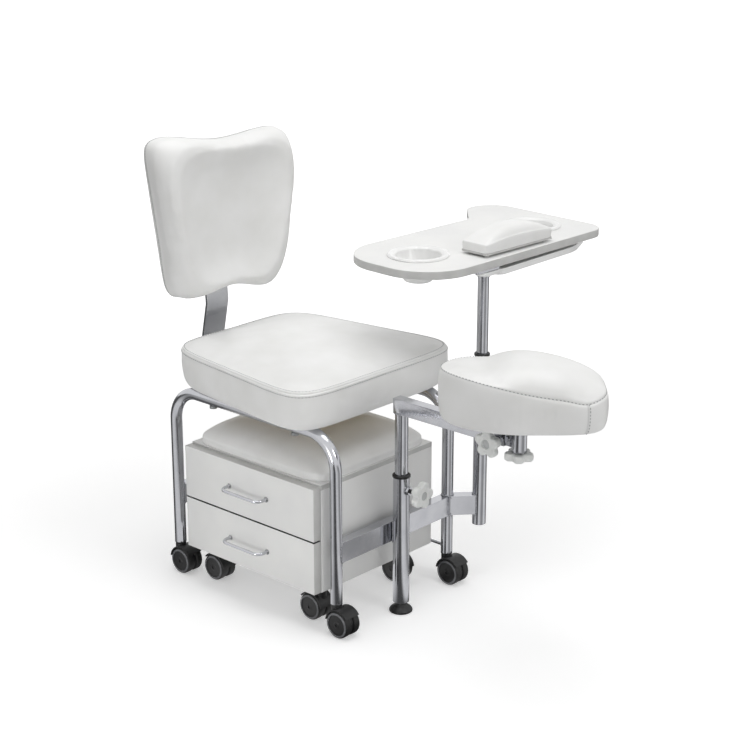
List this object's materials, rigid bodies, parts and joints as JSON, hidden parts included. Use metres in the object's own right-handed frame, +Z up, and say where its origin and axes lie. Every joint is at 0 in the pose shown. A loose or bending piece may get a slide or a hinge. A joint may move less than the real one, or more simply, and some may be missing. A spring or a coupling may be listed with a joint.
{
  "type": "pedicure spa chair",
  "caption": "Padded salon chair on a chromed tube frame with a swinging foot rest, a swivelling side table with lift-out cups, and a low drawer cart on casters.",
  "frame": {"origin": "centre of the whole object's bounding box, on the floor under it", "axes": "+Z up; the sitter faces -Y towards the foot rest; the side table stands on the +X side, and the drawers open towards -X"},
  "size_m": [0.77, 0.9, 0.8292],
  "materials": {
    "chrome": "bright plated steel tube",
    "zinc_steel": "zinc-plated steel",
    "upholstery": "soft white vinyl leather",
    "plywood": "bare plywood",
    "covered_board": "vinyl-covered plywood",
    "laminate": "white melamine-faced board",
    "black_plastic": "moulded black plastic",
    "white_plastic": "white moulded plastic",
    "knob_plastic": "milky moulded plastic",
    "caster_plastic": "black nylon",
    "caster_tread": "black nylon wheel with grey hub ring"
  },
  "bodies": {
    "chair": {"side_frame_near": "chrome", "side_frame_far": "chrome", "front_crossbar": "chrome", "rear_crossbar": "chrome", "far_stretcher": "chrome", "table_socket": "chrome", "footrest_socket": "chrome", "caster_sleeves": "black_plastic", "seat_board": "plywood", "seat_cushion": "upholstery", "seat_bolts": "zinc_steel", "back_strut": "chrome", "back_board": "covered_board", "back_cushion": "upholstery", "back_screws": "zinc_steel"},
    "levelling_foot": {"levelling_foot": "black_plastic"},
    "footrest_bush": {"footrest_bush": "black_plastic"},
    "footrest_post": {"footrest_post": "chrome"},
    "footrest_slider": {"footrest_slider": "chrome"},
    "footrest_pad": {"footrest_spindle": "zinc_steel", "footrest_cushion": "upholstery"},
    "height_knob": {"height_knob": "knob_plastic"},
    "reach_knob": {"reach_knob": "knob_plastic"},
    "pivot_knob": {"pivot_knob": "knob_plastic"},
    "table_bush": {"table_bush": "black_plastic"},
    "table": {"table_pole": "chrome", "table_top": "laminate", "wrist_rest_board": "black_plastic", "wrist_rest_cushion": "upholstery"},
    "cup_near": {"cup_near": "white_plastic"},
    "cup_far": {"cup_far": "white_plastic"},
    "accessory_tray": {"accessory_tray": "white_plastic"},
    "table_knob": {"table_knob": "knob_plastic"},
    "cart": {"cart_case": "laminate", "cart_top": "laminate", "cart_cushion": "upholstery", "cart_caster_plates": "black_plastic", "drawer_runners": "zinc_steel"},
    "drawer_upper": {"drawer_front_upper": "laminate", "drawer_box_upper": "plywood", "drawer_handle_upper": "chrome"},
    "drawer_lower": {"drawer_front_lower": "laminate", "drawer_box_lower": "plywood", "drawer_handle_lower": "chrome"},
    "caster_fork_near_front": {"caster_fork_near_front": "caster_plastic"},
    "caster_wheels_near_front": {"caster_wheels_near_front": "caster_tread"},
    "caster_fork_near_back": {"caster_fork_near_back": "caster_plastic"},
    "caster_wheels_near_back": {"caster_wheels_near_back": "caster_tread"},
    "caster_fork_far_front": {"caster_fork_far_front": "caster_plastic"},
    "caster_wheels_far_front": {"caster_wheels_far_front": "caster_tread"},
    "caster_fork_far_back": {"caster_fork_far_back": "caster_plastic"},
    "caster_wheels_far_back": {"caster_wheels_far_back": "caster_tread"},
    "cart_fork_near_front": {"cart_fork_near_front": "caster_plastic"},
    "cart_wheels_near_front": {"cart_wheels_near_front": "caster_tread"},
    "cart_fork_near_back": {"cart_fork_near_back": "caster_plastic"},
    "cart_wheels_near_back": {"cart_wheels_near_back": "caster_tread"},
    "cart_fork_far_front": {"cart_fork_far_front": "caster_plastic"},
    "cart_wheels_far_front": {"cart_wheels_far_front": "caster_tread"},
    "cart_fork_far_back": {"cart_fork_far_back": "caster_plastic"},
    "cart_wheels_far_back": {"cart_wheels_far_back": "caster_tread"}
  },
  "joints": [
    {"name": "footrest_swing", "type": "hinge", "parent": "chair", "child": "footrest_bush", "pos_m": [-0.1806, -0.05187, 0.265], "axis": [0, 0, 1], "range_deg": [-70, 40]},
    {"name": "footrest_height", "type": "slide", "parent": "footrest_bush", "child": "footrest_post", "axis": [0, 0, 1], "range_m": [-0.07, 0.09]},
    {"name": "footrest_reach", "type": "slide", "parent": "footrest_post", "child": "footrest_slider", "axis": [0, -1, 0], "range_m": [-0.01, 0.08]},
    {"name": "footrest_turn", "type": "hinge", "parent": "footrest_slider", "child": "footrest_pad", "pos_m": [-0.1806, -0.31387, 0.4], "axis": [0, 0, 1], "continuous": true},
    {"name": "height_knob_turn", "type": "hinge", "parent": "chair", "child": "height_knob", "pos_m": [-0.1806, -0.05187, 0.24], "axis": [0, -1, 0], "range_deg": [-270, 0]},
    {"name": "reach_knob_turn", "type": "hinge", "parent": "footrest_post", "child": "reach_knob", "pos_m": [-0.1806, -0.27487, 0.392], "axis": [-1, 0, 0], "range_deg": [-270, 0]},
    {"name": "pivot_knob_turn", "type": "hinge", "parent": "footrest_pad", "child": "pivot_knob", "pos_m": [-0.1806, -0.31387, 0.38], "axis": [0, 0, -1], "range_deg": [-270, 0]},
    {"name": "levelling_foot_turn", "type": "hinge", "parent": "chair", "child": "levelling_foot", "pos_m": [-0.1806, -0.05187, 0.01], "axis": [0, 0, 1], "range_deg": [-180, 180]},
    {"name": "table_swing", "type": "hinge", "parent": "chair", "child": "table_bush", "pos_m": [0.0214, -0.06837, 0.448], "axis": [0, 0, 1], "range_deg": [-90, 45]},
    {"name": "table_height", "type": "slide", "parent": "table_bush", "child": "table", "axis": [0, 0, 1], "range_m": [-0.06, 0.1]},
    {"name": "table_knob_turn", "type": "hinge", "parent": "chair", "child": "table_knob", "pos_m": [0.0214, -0.06837, 0.415], "axis": [0, -1, 0], "range_deg": [-270, 0]},
    {"name": "tray_swing", "type": "hinge", "parent": "table", "child": "accessory_tray", "pos_m": [0.0214, -0.06837, 0.598], "axis": [0, 0, 1], "range_deg": [-90, 0]},
    {"name": "cup_near_lift", "type": "slide", "parent": "table", "child": "cup_near", "axis": [0, 0, 1], "range_m": [0, 0.06]},
    {"name": "cup_far_lift", "type": "slide", "parent": "table", "child": "cup_far", "axis": [0, 0, 1], "range_m": [0, 0.06]},
    {"name": "cart_roll", "type": "slide", "parent": "chair", "child": "cart", "axis": [-1, 0, 0], "range_m": [0, 0.4]},
    {"name": "drawer_upper_slide", "type": "slide", "parent": "cart", "child": "drawer_upper", "axis": [-1, 0, 0], "range_m": [0, 0.23]},
    {"name": "drawer_lower_slide", "type": "slide", "parent": "cart", "child": "drawer_lower", "axis": [-1, 0, 0], "range_m": [0, 0.23]},
    {"name": "caster_swivel_near_front", "type": "hinge", "parent": "chair", "child": "caster_fork_near_front", "pos_m": [-0.3246, -0.02687, 0.06], "axis": [0, 0, 1], "continuous": true},
    {"name": "caster_roll_near_front", "type": "hinge", "parent": "caster_fork_near_front", "child": "caster_wheels_near_front", "pos_m": [-0.3246, -0.04287, 0.025], "axis": [1, 0, 0], "continuous": true},
    {"name": "caster_swivel_near_back", "type": "hinge", "parent": "chair", "child": "caster_fork_near_back", "pos_m": [-0.3246, 0.38413, 0.06], "axis": [0, 0, 1], "continuous": true},
    {"name": "caster_roll_near_back", "type": "hinge", "parent": "caster_fork_near_back", "child": "caster_wheels_near_back", "pos_m": [-0.3246, 0.36813, 0.025], "axis": [1, 0, 0], "continuous": true},
    {"name": "caster_swivel_far_front", "type": "hinge", "parent": "chair", "child": "caster_fork_far_front", "pos_m": [-0.0226, -0.02687, 0.06], "axis": [0, 0, 1], "continuous": true},
    {"name": "caster_roll_far_front", "type": "hinge", "parent": "caster_fork_far_front", "child": "caster_wheels_far_front", "pos_m": [-0.0226, -0.04287, 0.025], "axis": [1, 0, 0], "continuous": true},
    {"name": "caster_swivel_far_back", "type": "hinge", "parent": "chair", "child": "caster_fork_far_back", "pos_m": [-0.0226, 0.38413, 0.06], "axis": [0, 0, 1], "continuous": true},
    {"name": "caster_roll_far_back", "type": "hinge", "parent": "caster_fork_far_back", "child": "caster_wheels_far_back", "pos_m": [-0.0226, 0.36813, 0.025], "axis": [1, 0, 0], "continuous": true},
    {"name": "cart_swivel_near_front", "type": "hinge", "parent": "cart", "child": "cart_fork_near_front", "pos_m": [-0.3026, 0.03213, 0.065], "axis": [0, 0, 1], "continuous": true},
    {"name": "cart_roll_near_front", "type": "hinge", "parent": "cart_fork_near_front", "child": "cart_wheels_near_front", "pos_m": [-0.3026, 0.04513, 0.025], "axis": [1, 0, 0], "continuous": true},
    {"name": "cart_swivel_near_back", "type": "hinge", "parent": "cart", "child": "cart_fork_near_back", "pos_m": [-0.3026, 0.28613, 0.065], "axis": [0, 0, 1], "continuous": true},
    {"name": "cart_roll_near_back", "type": "hinge", "parent": "cart_fork_near_back", "child": "cart_wheels_near_back", "pos_m": [-0.3026, 0.29913, 0.025], "axis": [1, 0, 0], "continuous": true},
    {"name": "cart_swivel_far_front", "type": "hinge", "parent": "cart", "child": "cart_fork_far_front", "pos_m": [-0.0816, 0.03213, 0.065], "axis": [0, 0, 1], "continuous": true},
    {"name": "cart_roll_far_front", "type": "hinge", "parent": "cart_fork_far_front", "child": "cart_wheels_far_front", "pos_m": [-0.0816, 0.04513, 0.025], "axis": [1, 0, 0], "continuous": true},
    {"name": "cart_swivel_far_back", "type": "hinge", "parent": "cart", "child": "cart_fork_far_back", "pos_m": [-0.0816, 0.28613, 0.065], "axis": [0, 0, 1], "continuous": true},
    {"name": "cart_roll_far_back", "type": "hinge", "parent": "cart_fork_far_back", "child": "cart_wheels_far_back", "pos_m": [-0.0816, 0.29913, 0.025], "axis": [1, 0, 0], "continuous": true}
  ]
}
